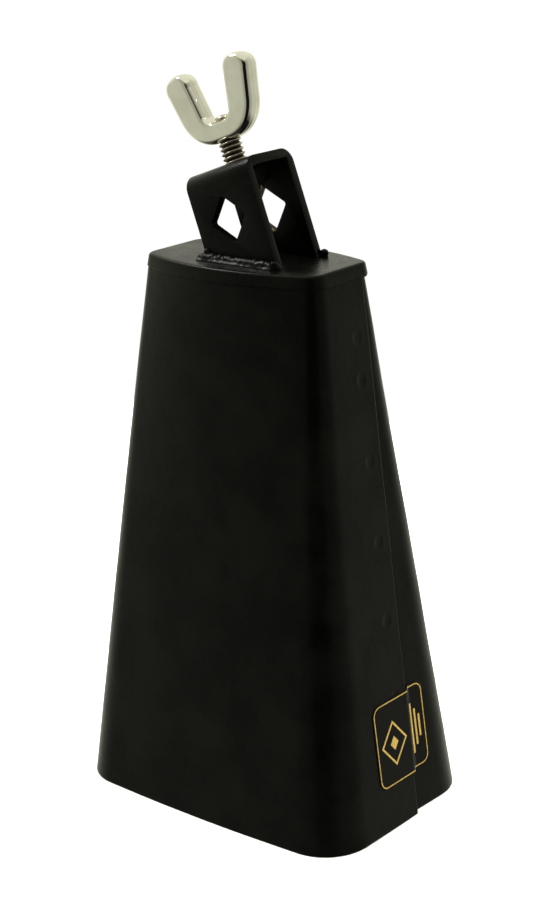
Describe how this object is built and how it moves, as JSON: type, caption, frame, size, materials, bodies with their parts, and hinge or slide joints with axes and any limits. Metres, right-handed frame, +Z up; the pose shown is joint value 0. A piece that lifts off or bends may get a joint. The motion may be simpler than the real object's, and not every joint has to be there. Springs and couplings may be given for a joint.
{
  "type": "cowbell",
  "caption": "Mountable percussion cowbell: a tapering spot-welded steel bell, open at the mouth, with a leaning rod bracket on its cap and a helical wing clamp screw.",
  "frame": {"origin": "centre of the mouth plane, on the surface that the bell stands on", "axes": "+Z up the bell towards the cap, +X towards the narrow side with the lap seam's label, -Y towards the front wide face"},
  "size_m": [0.0962, 0.0662, 0.206],
  "materials": {
    "black_paint": "semi-matt black powder coat with a fine grain",
    "stud_steel": "dull plated thread",
    "bright_chrome": "bright chrome plate on a casting",
    "label_vinyl": "black vinyl with a gold printed border"
  },
  "bodies": {
    "bell": {"front_shell": "black_paint", "rear_shell": "black_paint", "top_cap": "black_paint", "mount_bracket": "black_paint", "bracket_weld_front": "black_paint", "bracket_weld_rear": "black_paint", "label": "label_vinyl"},
    "screw_point": {"stud_point": "stud_steel"},
    "wing_screw": {"clamp_stud": "stud_steel", "wing_head": "bright_chrome"}
  },
  "joints": [
    {"name": "screw_feed", "type": "slide", "parent": "bell", "child": "screw_point", "axis": [-0.3338, 0, 0.9426], "range_m": [-0.0059, 0.0071]},
    {"name": "screw_turn", "type": "hinge", "parent": "screw_point", "child": "wing_screw", "pos_m": [-0.00514, 0, 0.177], "axis": [-0.3338, 0, 0.9426], "range_deg": [-1644, 1984]}
  ],
  "couplings": [
    {"joint": "screw_feed", "follows": "screw_turn", "m_per_rad": 0.00020213}
  ]
}
